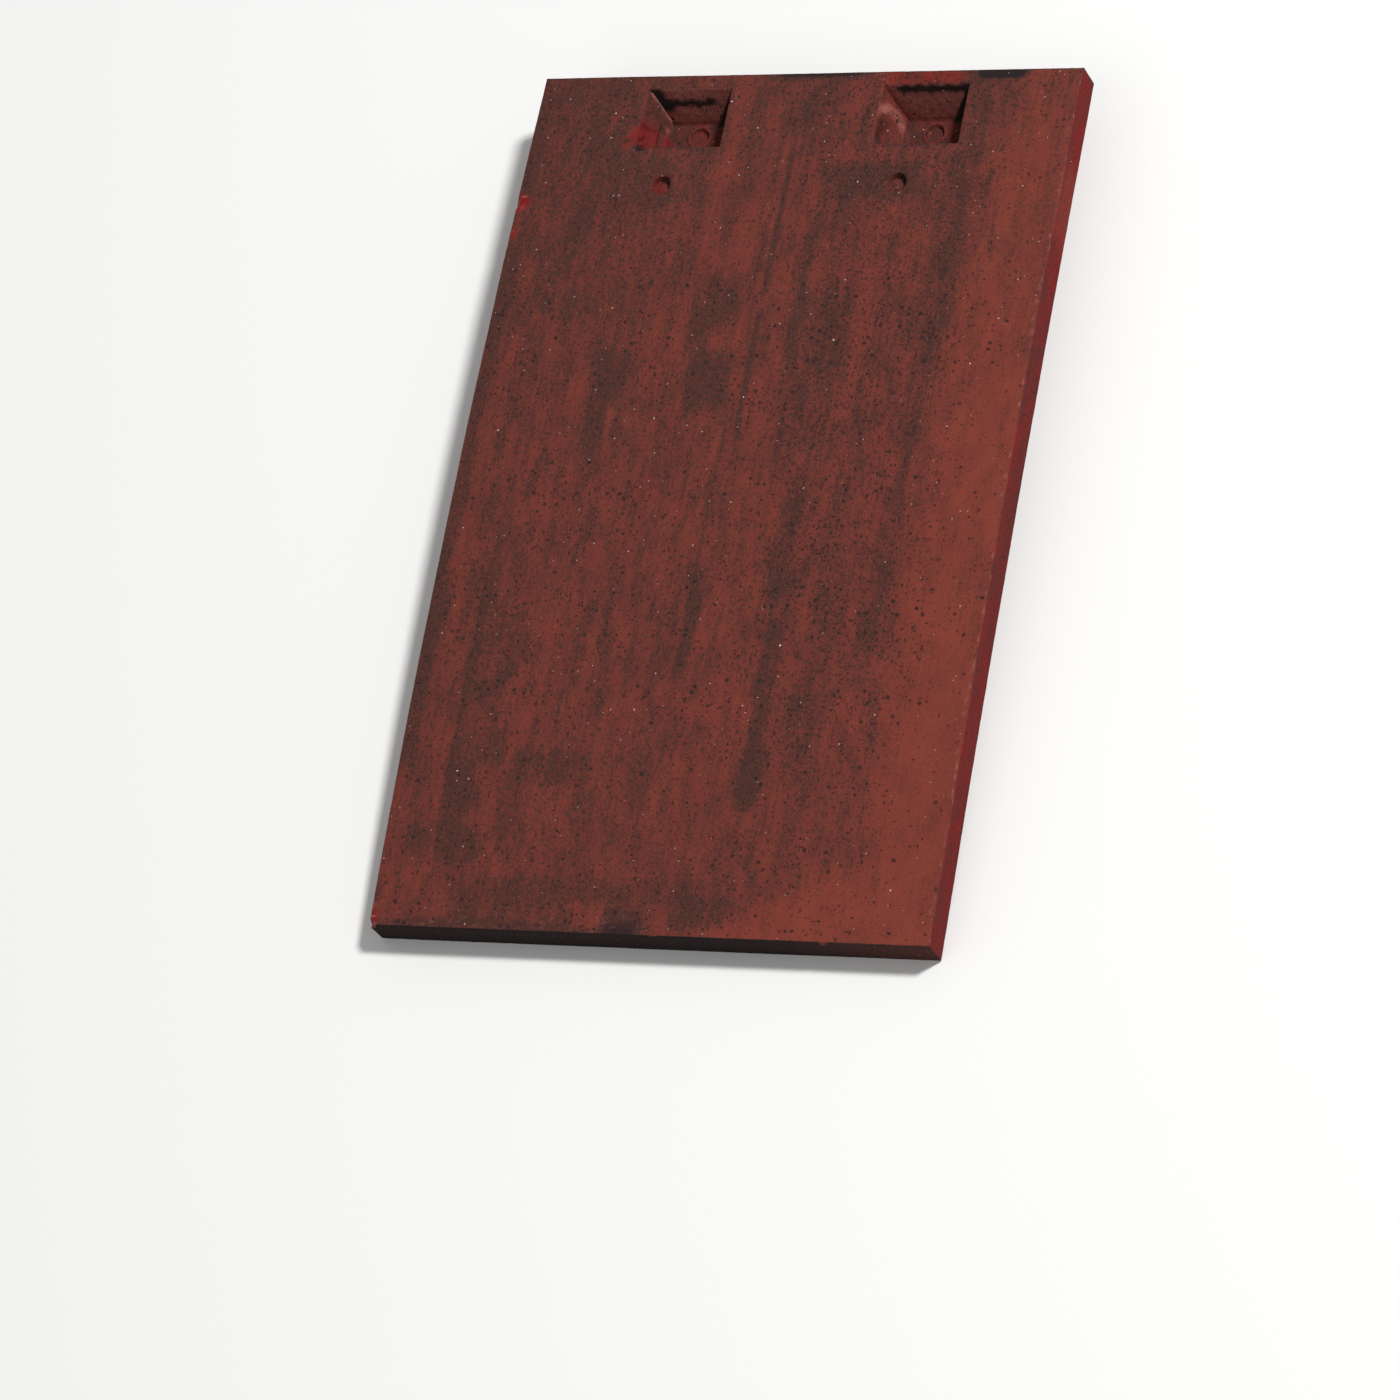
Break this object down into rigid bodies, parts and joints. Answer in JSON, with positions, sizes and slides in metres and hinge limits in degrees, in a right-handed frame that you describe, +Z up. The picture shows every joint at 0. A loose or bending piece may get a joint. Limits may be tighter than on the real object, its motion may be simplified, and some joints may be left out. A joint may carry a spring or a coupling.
{
  "type": "plain clay roof tile",
  "caption": "Flat rectangular clay roof tile, gently cambered along its length, with punched nibs that hook over a batten and part-punched nail holes below them.",
  "frame": {"origin": "middle of the tile's outline, on the floor that it lies on", "axes": "+X across the tile, +Y along its length towards the head with the nibs, +Z up out of the weather face"},
  "size_m": [0.17, 0.2702, 0.0236],
  "materials": {
    "fired_clay": "unglazed fired clay, matt, dark red with brown-black flame streaks along the length"
  },
  "bodies": {
    "root": {"tile": "fired_clay"}
  },
  "joints": []
}
